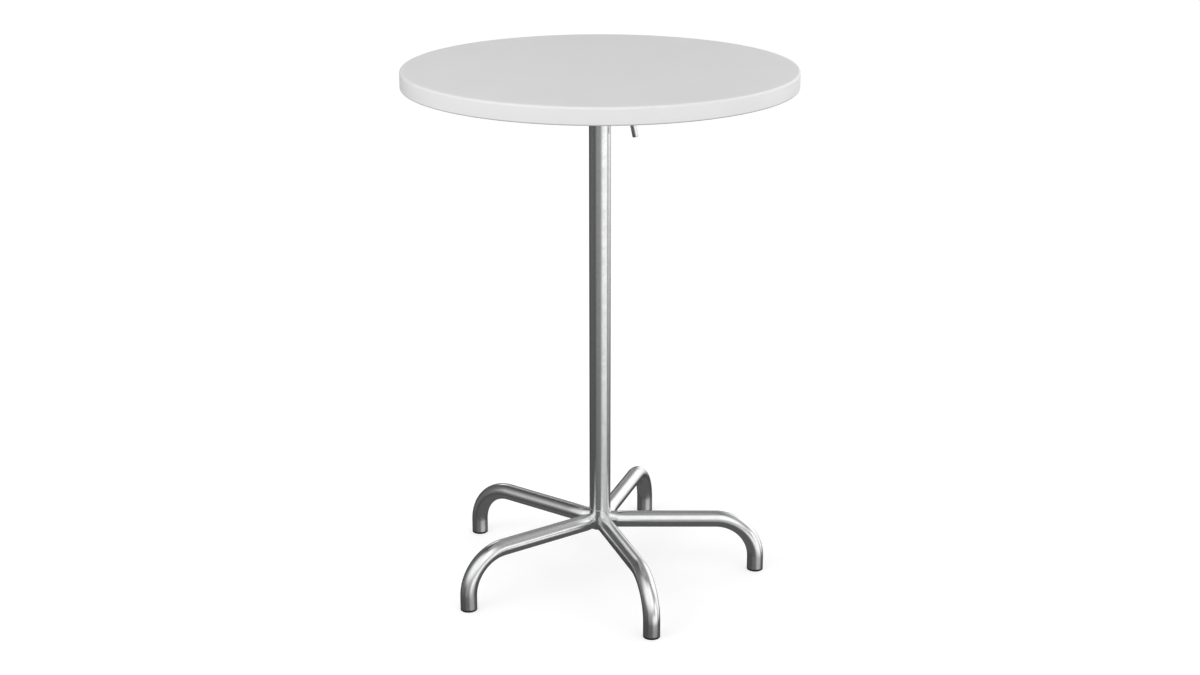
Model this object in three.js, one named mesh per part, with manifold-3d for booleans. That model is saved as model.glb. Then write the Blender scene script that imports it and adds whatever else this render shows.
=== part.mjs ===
// Standing table with a round tilting top on a five-legged tube base.
// Millimetres, +Z up. The origin is on the floor under the column, and +X points along the right leg.
import * as THREE from "three";
import { mergeVertices } from "three/addons/utils/BufferGeometryUtils.js";
import Module from "manifold-3d";

// Clearances between pieces
const SEAT_GAP = 0.3;
const SCREW_HOLE_PLAY = 0.5;

// Table top
const TABLE_HEIGHT = 1100;
const TOP_DIAMETER = 800;
const TOP_DEPTH = 34.5;
const TOP_SKIN = 4;
const RIM_WALL = 5;
const TOP_EDGE_ROUND = 5;
const RIM_LIP_ROUND = 2;
const BACKING_THICKNESS = 2.5;
const BACKING_RECESS = 1;

// Base
const COLUMN_DIAMETER = 45;
const COLUMN_WALL = 2.5;
const LEG_COUNT = 5;
const LEG_DIAMETER = 35;
const LEG_WALL = 2.5;
const LEG_PINCH_WIDTH = 22.4;
const LEG_PINCH_LENGTH = 15.5;
const LEG_BEND_RADIUS = 87.5;
const LEG_FOOT_STRAIGHT = 26.2;
const FOOT_CIRCLE_RADIUS = 337;
const HUB_RISE = 9.5;
const HUB_SPIGOT_WALL = 5.7;
const HUB_SPIGOT_LENGTH = 35;
const HUB_EDGE = 1.5;
const GLIDE_FLANGE = 4;
const GLIDE_EDGE = 1.2;
const GLIDE_PLUG_LENGTH = 16;

// Bracket under the top
const SPIDER_THICKNESS = 5;
const SPIDER_ARM_WIDTH = 44;
const SPIDER_EDGE_MARGIN = 7;
const INNER_SCREW_RADIUS = 105;
const OUTER_SCREW_RADIUS = 205;
const SCREW_DIAMETER = 8;
const SCREW_HEAD_OVERHANG = 3;
const SCREW_HEAD_HEIGHT = 5;
const SCREW_TIP_PLAY = 1.5;
const INSERT_WALL = 1.7;
const INSERT_CROWN = 3;
const INSERT_COVER = 8;
const CHEEK_THICKNESS = 5;
const CHEEK_LENGTH = 90;
const CHEEK_CORNER_ROUND = 4;
const CHEEK_PIVOT_WALL = 12;
const CHEEK_STOP_WALL = 5;

// Pivot and stops
const BARREL_LIP = 1.5;
const BARREL_WALL = 4;
const BARREL_OVERHANG = 7.5;
const BUSH_FLANGE = 2.5;
const BUSH_FLANGE_INSET = 1;
const BUSH_SPIGOT_LENGTH = 15;
const BOLT_DIAMETER = 12;
const BOLT_HEAD_DIAMETER = 24;
const BOLT_HEAD_HEIGHT = 6;
const BOLT_NECK_EXTRA = 0.4;
const STOP_BAR_DIAMETER = 8;
const STOP_BAR_DROP = 20;
const BUFFER_DIAMETER = 20;
const BUFFER_HEIGHT = 9;
const BUFFER_DISTANCE = 48;
const BUFFER_SCREW_DIAMETER = 5;
const BUFFER_SCREW_HEAD_OVERHANG = 2.5;
const BUFFER_SCREW_HEAD_HEIGHT = 3.5;
const BUFFER_HEAD_DEPTH = 1;

// Clamp lever on the pivot bolt
const WASHER_DIAMETER = 28;
const WASHER_THICKNESS = 2.5;
const BOSS_DIAMETER = 32;
const BOSS_LENGTH = 30;
const BOSS_EDGE = 2;
const BOSS_THREAD_DEPTH = 19;
const BOLT_END_PLAY = 1;
const LEVER_DIAMETER = 13;
const LEVER_ROOT_FROM_WASHER = 16.5;
const LEVER_ROOT_WALL = 3;
const LEVER_REACH = 72.5;
const LEVER_LEAN = THREE.MathUtils.degToRad(11.5);
const LEVER_EDGE = 1;

// Number of flat sides that stand for a full circle
const TOP_SIDES = 72;
const TUBE_SIDES = 20;
const SMALL_SIDES = 12;
const BEND_STEPS = 8;
const EDGE_STEPS = 3;

// Radii and heights that follow from the sizes above
const topRadius = TOP_DIAMETER / 2;
const columnRadius = COLUMN_DIAMETER / 2;
const columnBore = columnRadius - COLUMN_WALL;
const legRadius = LEG_DIAMETER / 2;
const legBore = legRadius - LEG_WALL;
const boltRadius = BOLT_DIAMETER / 2;
const boltHole = boltRadius + SEAT_GAP;
const rimBottom = TABLE_HEIGHT - TOP_DEPTH;
const legEnd = GLIDE_FLANGE + SEAT_GAP;
const legAxisHeight = legEnd + LEG_FOOT_STRAIGHT + LEG_BEND_RADIUS;
const backingBottom = rimBottom + BACKING_RECESS;
const coreBottom = backingBottom + BACKING_THICKNESS + SEAT_GAP;
const coreTop = TABLE_HEIGHT - TOP_SKIN - SEAT_GAP;
const coreRadius = topRadius - RIM_WALL - SEAT_GAP;
const spiderTop = backingBottom - SEAT_GAP;
const spiderBottom = spiderTop - SPIDER_THICKNESS;
const bufferBottom = spiderBottom - SEAT_GAP - BUFFER_HEIGHT;
const pivotHeight = bufferBottom - SEAT_GAP - columnRadius;
const hubBottom = legAxisHeight - legRadius;
const hubShoulder = legAxisHeight + legRadius + HUB_RISE;
const barrelRadius = columnRadius + BARREL_LIP;
const barrelBore = barrelRadius - BARREL_WALL;
const barrelEnd = columnRadius + BARREL_OVERHANG;

// Places along the pivot axis, from the middle of the column outwards
const bushFlangeStart = barrelEnd + SEAT_GAP;
const bushFlangeEnd = bushFlangeStart + BUSH_FLANGE;
const cheekInner = bushFlangeEnd + SEAT_GAP;
const cheekOuter = cheekInner + CHEEK_THICKNESS;
const washerStart = cheekOuter + SEAT_GAP;
const bossStart = washerStart + WASHER_THICKNESS + SEAT_GAP;
const leverRoot = bossStart + LEVER_ROOT_FROM_WASHER;

const white = { color: 0xe6e6e4, roughness: 0.45, metalness: 0 };
const galvanised = { color: 0xb4b6b8, roughness: 0.35, metalness: 1 };
const blackPlastic = { color: 0x1b1b1c, roughness: 0.6, metalness: 0 };
const greyPlastic = { color: 0x6a6c6e, roughness: 0.55, metalness: 0 };
const rubber = { color: 0x222222, roughness: 0.9, metalness: 0 };
const coreWood = { color: 0xb98f5e, roughness: 0.8, metalness: 0 };
const brass = { color: 0xb59a55, roughness: 0.35, metalness: 1 };

const wasm = await Module();
wasm.setup();

// A closed geometry as a solid that can be joined or cut
function solid(geometry) {
  const bare = geometry.index ? geometry.toNonIndexed() : geometry.clone();
  bare.deleteAttribute("normal");
  bare.deleteAttribute("uv");
  const welded = mergeVertices(bare, 1e-4);
  return new wasm.Manifold(new wasm.Mesh({
    numProp: 3,
    vertProperties: new Float32Array(welded.attributes.position.array),
    triVerts: new Uint32Array(welded.index.array),
  }));
}

function geometryOf(manifold) {
  const mesh = manifold.getMesh();
  const geometry = new THREE.BufferGeometry();
  geometry.setAttribute("position", new THREE.BufferAttribute(mesh.vertProperties, 3));
  geometry.setIndex(new THREE.BufferAttribute(mesh.triVerts, 1));
  geometry.computeVertexNormals();
  return geometry;
}

// A body of revolution about Z from [radius, height] points, given upwards on the outside
function turned(points, sides) {
  const profile = points.map(([radius, height]) => new THREE.Vector2(radius, height));
  return new THREE.LatheGeometry(profile, sides).rotateX(Math.PI / 2);
}

// A round tube or ring about Z between two heights
function ring(inner, outer, bottom, top, sides) {
  return turned([[inner, bottom], [outer, bottom], [outer, top], [inner, top], [inner, bottom]], sides);
}

// A solid round bar about Z between two heights
function bar(radius, bottom, top, sides) {
  return turned([[0, bottom], [radius, bottom], [radius, top], [0, top]], sides);
}

// Turns a piece made along Z so that it lies along X, and its own X points along Y
function alongX(geometry) {
  const axisX = new THREE.Vector3(1, 0, 0);
  const axisY = new THREE.Vector3(0, 1, 0);
  const axisZ = new THREE.Vector3(0, 0, 1);
  return geometry.applyMatrix4(new THREE.Matrix4().makeBasis(axisY, axisZ, axisX));
}

// Points of a quarter-circle edge on a profile, without its two ends
function roundEdge(centreRadius, centreHeight, radius, startAngle) {
  const points = [];
  for (let step = 1; step < EDGE_STEPS; step += 1) {
    const angle = startAngle + (step / EDGE_STEPS) * (Math.PI / 2);
    points.push([centreRadius + radius * Math.cos(angle), centreHeight + radius * Math.sin(angle)]);
  }
  return points;
}

// A flat plate of a shape in the XY plane, standing on a given height
function plate(shape, thickness, bottom) {
  const settings = { depth: thickness, bevelEnabled: false, curveSegments: SMALL_SIDES / 2 };
  return new THREE.ExtrudeGeometry(shape, settings).translate(0, 0, bottom);
}

// The outline around circles [x, y, radius], given counter-clockwise
function outlineAround(circles) {
  const tangentAngle = ([ax, ay, ar], [bx, by, br]) => {
    const distance = Math.hypot(bx - ax, by - ay);
    return Math.atan2(by - ay, bx - ax) - Math.acos((ar - br) / distance);
  };
  const shape = new THREE.Shape();
  circles.forEach((circle, i) => {
    const before = circles[(i + circles.length - 1) % circles.length];
    const after = circles[(i + 1) % circles.length];
    const [x, y, radius] = circle;
    shape.absarc(x, y, radius, tangentAngle(before, circle), tangentAngle(circle, after), false);
  });
  shape.closePath();
  return shape;
}

function roundHole(x, y, radius) {
  return new THREE.Path().absarc(x, y, radius, 0, Math.PI * 2, false);
}

const table = new THREE.Group();
const stand = new THREE.Group();
const tiltingTop = new THREE.Group();
const tiltHead = new THREE.Group();
const clampLever = new THREE.Group();
tiltHead.position.z = pivotHeight;
clampLever.position.z = pivotHeight;
tiltingTop.add(tiltHead);
table.add(stand, tiltingTop, clampLever);

function addPiece(group, name, geometry, finish) {
  const mesh = new THREE.Mesh(geometry, new THREE.MeshStandardMaterial(finish));
  mesh.name = name;
  group.add(mesh);
  return mesh;
}

// Hub: a turned ring that the legs are welded to, with a spigot that the column slides over
const hubSpigot = columnBore - SEAT_GAP;
const hubBore = hubSpigot - HUB_SPIGOT_WALL;
addPiece(stand, "hub", turned([
  [hubBore, hubBottom],
  [columnRadius - HUB_EDGE, hubBottom],
  [columnRadius, hubBottom + HUB_EDGE],
  [columnRadius, hubShoulder],
  [hubSpigot, hubShoulder],
  [hubSpigot, hubShoulder + HUB_SPIGOT_LENGTH],
  [hubBore, hubShoulder + HUB_SPIGOT_LENGTH],
  [hubBore, hubBottom],
], TUBE_SIDES), galvanised);

// Legs: one tube each, pinched to fit beside its neighbours on the hub, level and then bent down to the foot
const pinchStart = Math.sqrt(columnRadius ** 2 - (LEG_PINCH_WIDTH / 2) ** 2);
const pinchEnd = columnRadius + LEG_PINCH_LENGTH;
const bendStart = FOOT_CIRCLE_RADIUS - LEG_BEND_RADIUS;
const bendEnd = legEnd + LEG_FOOT_STRAIGHT;
const levelPlaces = [0, pinchStart, pinchEnd, bendStart];
const levelSteps = levelPlaces.length - 1;

class LegRoute extends THREE.Curve {
  getUtoTmapping(u) {
    return u;
  }

  getPoint(t, target = new THREE.Vector3()) {
    const step = t * (levelSteps + BEND_STEPS + 1);
    if (step < levelSteps) {
      const before = Math.floor(step);
      const x = THREE.MathUtils.lerp(levelPlaces[before], levelPlaces[before + 1], step - before);
      return target.set(x, 0, legAxisHeight);
    }
    if (step > levelSteps + BEND_STEPS) {
      const along = step - levelSteps - BEND_STEPS;
      return target.set(FOOT_CIRCLE_RADIUS, 0, THREE.MathUtils.lerp(bendEnd, legEnd, along));
    }
    const angle = ((step - levelSteps) / BEND_STEPS) * (Math.PI / 2);
    return target.set(
      bendStart + LEG_BEND_RADIUS * Math.sin(angle),
      0,
      bendEnd + LEG_BEND_RADIUS * Math.cos(angle),
    );
  }
}

function legTube() {
  const section = new THREE.Shape().absarc(0, 0, legRadius, 0, Math.PI * 2, false);
  section.holes.push(roundHole(0, 0, legBore));
  const tube = new THREE.ExtrudeGeometry(section, {
    steps: levelSteps + BEND_STEPS + 1,
    curveSegments: TUBE_SIDES / 2,
    extrudePath: new LegRoute(),
  });
  const places = tube.attributes.position;
  for (let i = 0; i < places.count; i += 1) {
    const opened = THREE.MathUtils.clamp(
      THREE.MathUtils.inverseLerp(pinchStart, pinchEnd, places.getX(i)), 0, 1);
    const narrowed = THREE.MathUtils.lerp(LEG_PINCH_WIDTH / LEG_DIAMETER, 1, opened);
    places.setY(i, places.getY(i) * narrowed);
  }
  return tube;
}

const hubCut = solid(bar(columnRadius + SEAT_GAP, 0, legAxisHeight + LEG_DIAMETER, TUBE_SIDES));
const legGeometry = geometryOf(solid(legTube()).subtract(hubCut));

// Glides: a plug pressed into each leg end, with a flange that stands on the floor
const glideGeometry = turned([
  [0, 0],
  [legRadius - GLIDE_EDGE, 0],
  [legRadius, GLIDE_EDGE],
  [legRadius, GLIDE_FLANGE],
  [legBore - SEAT_GAP, GLIDE_FLANGE],
  [legBore - SEAT_GAP, GLIDE_FLANGE + GLIDE_PLUG_LENGTH],
  [0, GLIDE_FLANGE + GLIDE_PLUG_LENGTH],
], TUBE_SIDES);

for (let i = 0; i < LEG_COUNT; i += 1) {
  const arm = new THREE.Group();
  arm.rotation.z = (i / LEG_COUNT) * Math.PI * 2;
  stand.add(arm);
  addPiece(arm, `leg_${i + 1}`, legGeometry, galvanised);
  addPiece(arm, `glide_${i + 1}`, glideGeometry, blackPlastic).position.x = FOOT_CIRCLE_RADIUS;
}

// Column: one tube from the hub's shoulder up to the saddle cut for the pivot barrel
const columnTube = ring(columnBore, columnRadius, hubShoulder + SEAT_GAP, pivotHeight, TUBE_SIDES);
const saddleCut = alongX(bar(barrelRadius + SEAT_GAP, -COLUMN_DIAMETER, COLUMN_DIAMETER, TUBE_SIDES));
saddleCut.translate(0, 0, pivotHeight);
addPiece(stand, "column", geometryOf(solid(columnTube).subtract(solid(saddleCut))), galvanised);

// Pivot barrel across the column's upper end, with a flanged bush in each end
const barrel = alongX(ring(barrelBore, barrelRadius, -barrelEnd, barrelEnd, TUBE_SIDES));
addPiece(stand, "pivot_barrel", barrel, galvanised).position.z = pivotHeight;

const bushFlangeRadius = barrelRadius - BUSH_FLANGE_INSET;
const bushGeometry = alongX(turned([
  [boltHole, bushFlangeStart - BUSH_SPIGOT_LENGTH],
  [barrelBore - SEAT_GAP, bushFlangeStart - BUSH_SPIGOT_LENGTH],
  [barrelBore - SEAT_GAP, bushFlangeStart],
  [bushFlangeRadius, bushFlangeStart],
  [bushFlangeRadius, bushFlangeEnd],
  [boltHole, bushFlangeEnd],
  [boltHole, bushFlangeStart - BUSH_SPIGOT_LENGTH],
], TUBE_SIDES));
const rightBush = addPiece(stand, "pivot_bush_right", bushGeometry, greyPlastic);
rightBush.position.z = pivotHeight;
const leftBush = addPiece(stand, "pivot_bush_left", bushGeometry, greyPlastic);
leftBush.position.z = pivotHeight;
leftBush.rotation.z = Math.PI;

// Table top: a moulded shell with a rounded edge over a core board, closed below by a backing skin
addPiece(tiltingTop, "top_shell", turned([
  [0, TABLE_HEIGHT - TOP_SKIN],
  [topRadius - RIM_WALL, TABLE_HEIGHT - TOP_SKIN],
  [topRadius - RIM_WALL, rimBottom],
  [topRadius - RIM_LIP_ROUND, rimBottom],
  ...roundEdge(topRadius - RIM_LIP_ROUND, rimBottom + RIM_LIP_ROUND, RIM_LIP_ROUND, -Math.PI / 2),
  [topRadius, rimBottom + RIM_LIP_ROUND],
  [topRadius, TABLE_HEIGHT - TOP_EDGE_ROUND],
  ...roundEdge(topRadius - TOP_EDGE_ROUND, TABLE_HEIGHT - TOP_EDGE_ROUND, TOP_EDGE_ROUND, 0),
  [topRadius - TOP_EDGE_ROUND, TABLE_HEIGHT],
  [0, TABLE_HEIGHT],
], TOP_SIDES), white);

const screwPlaces = [];
for (let arm = 0; arm < 4; arm += 1) {
  const angle = Math.PI / 4 + (arm * Math.PI) / 2;
  for (const radius of [INNER_SCREW_RADIUS, OUTER_SCREW_RADIUS]) {
    screwPlaces.push([radius * Math.cos(angle), radius * Math.sin(angle)]);
  }
}

function cutAtScrews(board, holeRadius, bottom, top) {
  return screwPlaces.reduce(
    (rest, [x, y]) => rest.subtract(solid(bar(holeRadius, bottom, top, SMALL_SIDES).translate(x, y, 0))),
    board,
  );
}

const screwRadius = SCREW_DIAMETER / 2;
const insertBore = screwRadius + SEAT_GAP;
const insertRadius = insertBore + INSERT_WALL;
const insertTop = coreTop - INSERT_COVER;
const insertHole = insertRadius + SEAT_GAP;
const coreBoard = solid(bar(coreRadius, coreBottom, coreTop, TOP_SIDES));
const coreDrilled = cutAtScrews(coreBoard, insertHole, rimBottom, insertTop + SEAT_GAP);
addPiece(tiltingTop, "core_board", geometryOf(coreDrilled), coreWood);

const backing = solid(bar(coreRadius, backingBottom, backingBottom + BACKING_THICKNESS, TOP_SIDES));
const backingDrilled = cutAtScrews(backing, insertHole, rimBottom, coreBottom);
addPiece(tiltingTop, "backing_skin", geometryOf(backingDrilled), white);

// Threaded inserts, closed at the top, and the screws that hold the bracket to them
const insertGeometry = turned([
  [insertBore, backingBottom],
  [insertRadius, backingBottom],
  [insertRadius, insertTop],
  [0, insertTop],
  [0, insertTop - INSERT_CROWN],
  [insertBore, insertTop - INSERT_CROWN],
  [insertBore, backingBottom],
], SMALL_SIDES);
const screwTip = insertTop - INSERT_CROWN - SCREW_TIP_PLAY;
const screwHeadTop = spiderBottom - SEAT_GAP;
const screwHeadRadius = screwRadius + SCREW_HEAD_OVERHANG;
const screwGeometry = turned([
  [0, screwHeadTop - SCREW_HEAD_HEIGHT],
  [screwHeadRadius, screwHeadTop - SCREW_HEAD_HEIGHT],
  [screwHeadRadius, screwHeadTop],
  [screwRadius, screwHeadTop],
  [screwRadius, screwTip],
  [0, screwTip],
], SMALL_SIDES);
screwPlaces.forEach(([x, y], i) => {
  addPiece(tiltingTop, `insert_${i + 1}`, insertGeometry, brass).position.set(x, y, 0);
  addPiece(tiltingTop, `screw_${i + 1}`, screwGeometry, galvanised).position.set(x, y, 0);
});

// Spider plate: two crossed bars and a middle piece, cut from one flat sheet
function spiderArm(angle) {
  const round = SPIDER_ARM_WIDTH / 2;
  const outline = outlineAround([[-OUTER_SCREW_RADIUS, 0, round], [OUTER_SCREW_RADIUS, 0, round]]);
  return solid(plate(outline, SPIDER_THICKNESS, spiderBottom).rotateZ(angle));
}

const spiderCornerX = cheekOuter;
const spiderCornerY = BUFFER_DISTANCE + BUFFER_DIAMETER / 2;
const spiderMiddle = solid(plate(outlineAround([
  [spiderCornerX, -spiderCornerY, SPIDER_EDGE_MARGIN],
  [spiderCornerX, spiderCornerY, SPIDER_EDGE_MARGIN],
  [-spiderCornerX, spiderCornerY, SPIDER_EDGE_MARGIN],
  [-spiderCornerX, -spiderCornerY, SPIDER_EDGE_MARGIN],
]), SPIDER_THICKNESS, spiderBottom));
const bufferScrewRadius = BUFFER_SCREW_DIAMETER / 2;
const bufferBore = bufferScrewRadius + SEAT_GAP;
const bufferHole = bar(bufferBore, bufferBottom, coreTop, SMALL_SIDES).translate(0, -BUFFER_DISTANCE, 0);
const spiderBlank = spiderArm(Math.PI / 4).add(spiderArm(-Math.PI / 4)).add(spiderMiddle);
const spiderDrilled = cutAtScrews(spiderBlank, screwRadius + SCREW_HOLE_PLAY, bufferBottom, coreTop);
addPiece(tiltingTop, "spider_plate", geometryOf(spiderDrilled.subtract(solid(bufferHole))), galvanised);

// Bracket cheeks: two plates welded under the spider plate, one on each end of the barrel
const stopBarRadius = STOP_BAR_DIAMETER / 2;
const stopBarPlace = [columnRadius + SEAT_GAP + stopBarRadius, -STOP_BAR_DROP];
const cheekTop = spiderBottom - SEAT_GAP - pivotHeight;
const cheekCornerX = CHEEK_LENGTH / 2 - CHEEK_CORNER_ROUND;
const cheekCornerY = cheekTop - CHEEK_CORNER_ROUND;
const stopBarHole = stopBarRadius + SEAT_GAP;

function cheek(pivotHole) {
  const shape = outlineAround([
    [0, 0, boltHole + CHEEK_PIVOT_WALL],
    [...stopBarPlace, stopBarHole + CHEEK_STOP_WALL],
    [cheekCornerX, cheekCornerY, CHEEK_CORNER_ROUND],
    [-cheekCornerX, cheekCornerY, CHEEK_CORNER_ROUND],
  ]);
  shape.holes.push(pivotHole, roundHole(...stopBarPlace, stopBarHole));
  return alongX(plate(shape, CHEEK_THICKNESS, 0));
}

const neckWidth = BOLT_DIAMETER + BOLT_NECK_EXTRA;
const neckHalf = neckWidth / 2 + SEAT_GAP;
const neckHole = new THREE.Path([
  new THREE.Vector2(-neckHalf, -neckHalf),
  new THREE.Vector2(neckHalf, -neckHalf),
  new THREE.Vector2(neckHalf, neckHalf),
  new THREE.Vector2(-neckHalf, neckHalf),
  new THREE.Vector2(-neckHalf, -neckHalf),
]);
addPiece(tiltHead, "cheek_right", cheek(roundHole(0, 0, boltHole)), galvanised).position.x = cheekInner;
addPiece(tiltHead, "cheek_left", cheek(neckHole), galvanised).position.x = -cheekOuter;

// Stop bar through both cheeks, which meets the back of the column when the top is level
const stopBar = alongX(bar(stopBarRadius, -cheekOuter, cheekOuter, SMALL_SIDES));
addPiece(tiltHead, "stop_bar", stopBar, galvanised).position.set(0, ...stopBarPlace);

// Pivot bolt: round head and square neck at the left cheek, end inside the lever boss
const boltHeadStart = -cheekOuter - SEAT_GAP;
const boltEnd = bossStart + BOSS_THREAD_DEPTH - BOLT_END_PLAY;
const boltShank = alongX(turned([
  [0, boltHeadStart - BOLT_HEAD_HEIGHT],
  [BOLT_HEAD_DIAMETER / 2, boltHeadStart - BOLT_HEAD_HEIGHT / 2],
  [BOLT_HEAD_DIAMETER / 2, boltHeadStart],
  [boltRadius, boltHeadStart],
  [boltRadius, boltEnd],
  [0, boltEnd],
], SMALL_SIDES));
const boltNeckLength = CHEEK_THICKNESS + SEAT_GAP;
const boltNeck = new THREE.BoxGeometry(boltNeckLength, neckWidth, neckWidth);
boltNeck.translate(boltHeadStart + boltNeckLength / 2, 0, 0);
addPiece(tiltHead, "pivot_bolt", geometryOf(solid(boltShank).add(solid(boltNeck))), galvanised);

const washerEnd = washerStart + WASHER_THICKNESS;
const washer = alongX(ring(boltHole, WASHER_DIAMETER / 2, washerStart, washerEnd, SMALL_SIDES));
addPiece(tiltHead, "lever_washer", washer, galvanised);

// Rubber buffer under the spider plate, which meets the front of the column when the top is upright
const bufferHeadRadius = bufferScrewRadius + BUFFER_SCREW_HEAD_OVERHANG;
const bufferSink = bufferHeadRadius + SEAT_GAP;
const bufferHeadSeat = bufferBottom + BUFFER_HEAD_DEPTH + BUFFER_SCREW_HEAD_HEIGHT;
const bufferGeometry = turned([
  [bufferSink, bufferBottom],
  [BUFFER_DIAMETER / 2, bufferBottom],
  [BUFFER_DIAMETER / 2, bufferBottom + BUFFER_HEIGHT],
  [bufferBore, bufferBottom + BUFFER_HEIGHT],
  [bufferBore, bufferHeadSeat],
  [bufferSink, bufferHeadSeat],
  [bufferSink, bufferBottom],
], SMALL_SIDES);
addPiece(tiltingTop, "buffer", bufferGeometry, rubber).position.y = -BUFFER_DISTANCE;

const bufferHeadTop = bufferHeadSeat - SEAT_GAP;
const bufferScrewGeometry = turned([
  [0, bufferHeadTop - BUFFER_SCREW_HEAD_HEIGHT],
  [bufferHeadRadius, bufferHeadTop - BUFFER_SCREW_HEAD_HEIGHT],
  [bufferHeadRadius, bufferHeadTop],
  [bufferScrewRadius, bufferHeadTop],
  [bufferScrewRadius, spiderTop],
  [0, spiderTop],
], SMALL_SIDES);
addPiece(tiltingTop, "buffer_screw", bufferScrewGeometry, galvanised).position.y = -BUFFER_DISTANCE;

// Clamp lever: a threaded boss on the bolt's end and a round bar that leans outwards from it
const bossRadius = BOSS_DIAMETER / 2;
const bossEnd = bossStart + BOSS_LENGTH;
const bossBlank = alongX(turned([
  [boltHole, bossStart],
  [bossRadius, bossStart],
  [bossRadius, bossEnd - BOSS_EDGE],
  [bossRadius - BOSS_EDGE, bossEnd],
  [0, bossEnd],
  [0, bossStart + BOSS_THREAD_DEPTH],
  [boltHole, bossStart + BOSS_THREAD_DEPTH],
  [boltHole, bossStart],
], TUBE_SIDES));
const leverRadius = LEVER_DIAMETER / 2;
const leverRootDepth = boltHole + LEVER_ROOT_WALL;

function leverPlace(geometry) {
  return geometry.rotateY(Math.PI - LEVER_LEAN).translate(leverRoot, 0, 0);
}

const leverSeat = leverRootDepth - SEAT_GAP;
const leverHole = leverPlace(bar(leverRadius + SEAT_GAP, leverSeat, LEVER_REACH, SMALL_SIDES));
const leverBar = leverPlace(turned([
  [0, leverRootDepth],
  [leverRadius, leverRootDepth],
  [leverRadius, LEVER_REACH - LEVER_EDGE],
  [leverRadius - LEVER_EDGE, LEVER_REACH],
  [0, LEVER_REACH],
], SMALL_SIDES));
addPiece(clampLever, "lever_boss", geometryOf(solid(bossBlank).subtract(solid(leverHole))), galvanised);
addPiece(clampLever, "lever_bar", leverBar, galvanised);

export default table;
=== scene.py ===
import math

import bmesh
import bpy
from mathutils import Matrix, Vector


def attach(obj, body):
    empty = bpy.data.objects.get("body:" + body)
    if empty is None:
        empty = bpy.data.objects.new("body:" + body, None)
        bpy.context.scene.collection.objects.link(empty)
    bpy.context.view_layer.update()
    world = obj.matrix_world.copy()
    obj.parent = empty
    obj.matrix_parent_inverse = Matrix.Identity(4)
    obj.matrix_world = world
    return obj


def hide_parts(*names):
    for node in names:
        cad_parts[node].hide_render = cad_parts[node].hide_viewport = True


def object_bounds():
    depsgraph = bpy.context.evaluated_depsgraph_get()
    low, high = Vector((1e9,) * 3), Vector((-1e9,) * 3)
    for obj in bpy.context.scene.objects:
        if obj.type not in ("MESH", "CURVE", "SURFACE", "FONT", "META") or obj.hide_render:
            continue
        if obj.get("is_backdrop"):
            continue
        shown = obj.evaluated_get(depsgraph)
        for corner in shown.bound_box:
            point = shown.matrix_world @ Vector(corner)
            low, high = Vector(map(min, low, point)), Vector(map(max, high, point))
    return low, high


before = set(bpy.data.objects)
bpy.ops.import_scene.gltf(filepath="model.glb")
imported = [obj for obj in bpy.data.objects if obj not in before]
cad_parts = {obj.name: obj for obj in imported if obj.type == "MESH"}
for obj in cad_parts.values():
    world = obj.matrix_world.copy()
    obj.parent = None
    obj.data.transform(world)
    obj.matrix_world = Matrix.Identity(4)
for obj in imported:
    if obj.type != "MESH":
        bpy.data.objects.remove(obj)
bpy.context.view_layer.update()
scene = bpy.context.scene
scene.view_settings.view_transform = "Standard"


# Camera: the photographer's eye at head height, well back from the table,
# looking a little down so that the whole round top shows.
def added(name, data):
    """A new object in the scene."""
    made = bpy.data.objects.new(name, data)
    scene.collection.objects.link(made)
    return made


EYE = (0.0, -3.82284, 1.80036)
EYE_PITCH = math.radians(90.0 - 18.38)
lens = bpy.data.cameras.new("photo_lens")
lens.sensor_width = 36.0
lens.lens = 57.756
photo_camera = added("photo_camera", lens)
photo_camera.location = EYE
photo_camera.rotation_euler = (EYE_PITCH, 0.0, 0.0)
scene.camera = photo_camera


# Studio: a white floor in a white room, with a soft key lamp at the front right and a soft fill lamp at
# the front left. The steel mirrors neither of them, only the softboxes and walls listed as panels.
def add_node(tree, kind, feeds=None, **settings):
    """A node with its settings; feeds maps a socket's name or number to a value or an output."""
    made = tree.nodes.new(kind)
    for name, value in settings.items():
        setattr(made, name, value)
    for key, value in (feeds or {}).items():
        if isinstance(value, bpy.types.NodeSocket):
            tree.links.new(value, made.inputs[key])
        else:
            made.inputs[key].default_value = value
    return made


def maths(tree, operation, *feeds):
    """The output of one Math node fed with numbers or outputs."""
    return add_node(tree, "ShaderNodeMath", dict(enumerate(feeds)), operation=operation).outputs[0]


def eased(tree, value, start, end, low=0.0, high=1.0):
    """A value that goes smoothly from low to high while the input goes from start to end."""
    feeds = {"Value": value, "From Min": start, "From Max": end, "To Min": low, "To Max": high}
    made = add_node(tree, "ShaderNodeMapRange", feeds, interpolation_type="SMOOTHSTEP")
    return made.outputs["Result"]


def blended(tree, share, first, second, kind="FLOAT"):
    """A value, or with kind RGBA a colour, that is the first at share 0 and the second at share 1."""
    feeds = {"Factor": share, "A": first, "B": second}
    return add_node(tree, "ShaderNodeMix", feeds, data_type=kind).outputs["Result"]


def ray_is_seen(tree):
    """1 for rays from the eye, from a mirror-like surface or through glass, 0 for plain light."""
    rays = add_node(tree, "ShaderNodeLightPath").outputs
    seen = maths(tree, "MAXIMUM", rays["Is Camera Ray"], rays["Is Glossy Ray"])
    return maths(tree, "MAXIMUM", seen, rays["Is Transmission Ray"])


def new_finish(name):
    """A new material, with its node tree and its shader."""
    finish = bpy.data.materials.new(name)
    finish.use_nodes = True
    return finish, finish.node_tree, finish.node_tree.nodes["Principled BSDF"]


# Plain light of the room: stronger near the horizon, and there stronger to the right than to the left.
AMBIENT = 0.83
HORIZON_GLOW = 1.1
RIGHT_GLOW = 0.60
GLOW_LEFT_LIMIT = -0.15
GLOW_HIGH, GLOW_LOW = 18.0, 2.0
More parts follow.
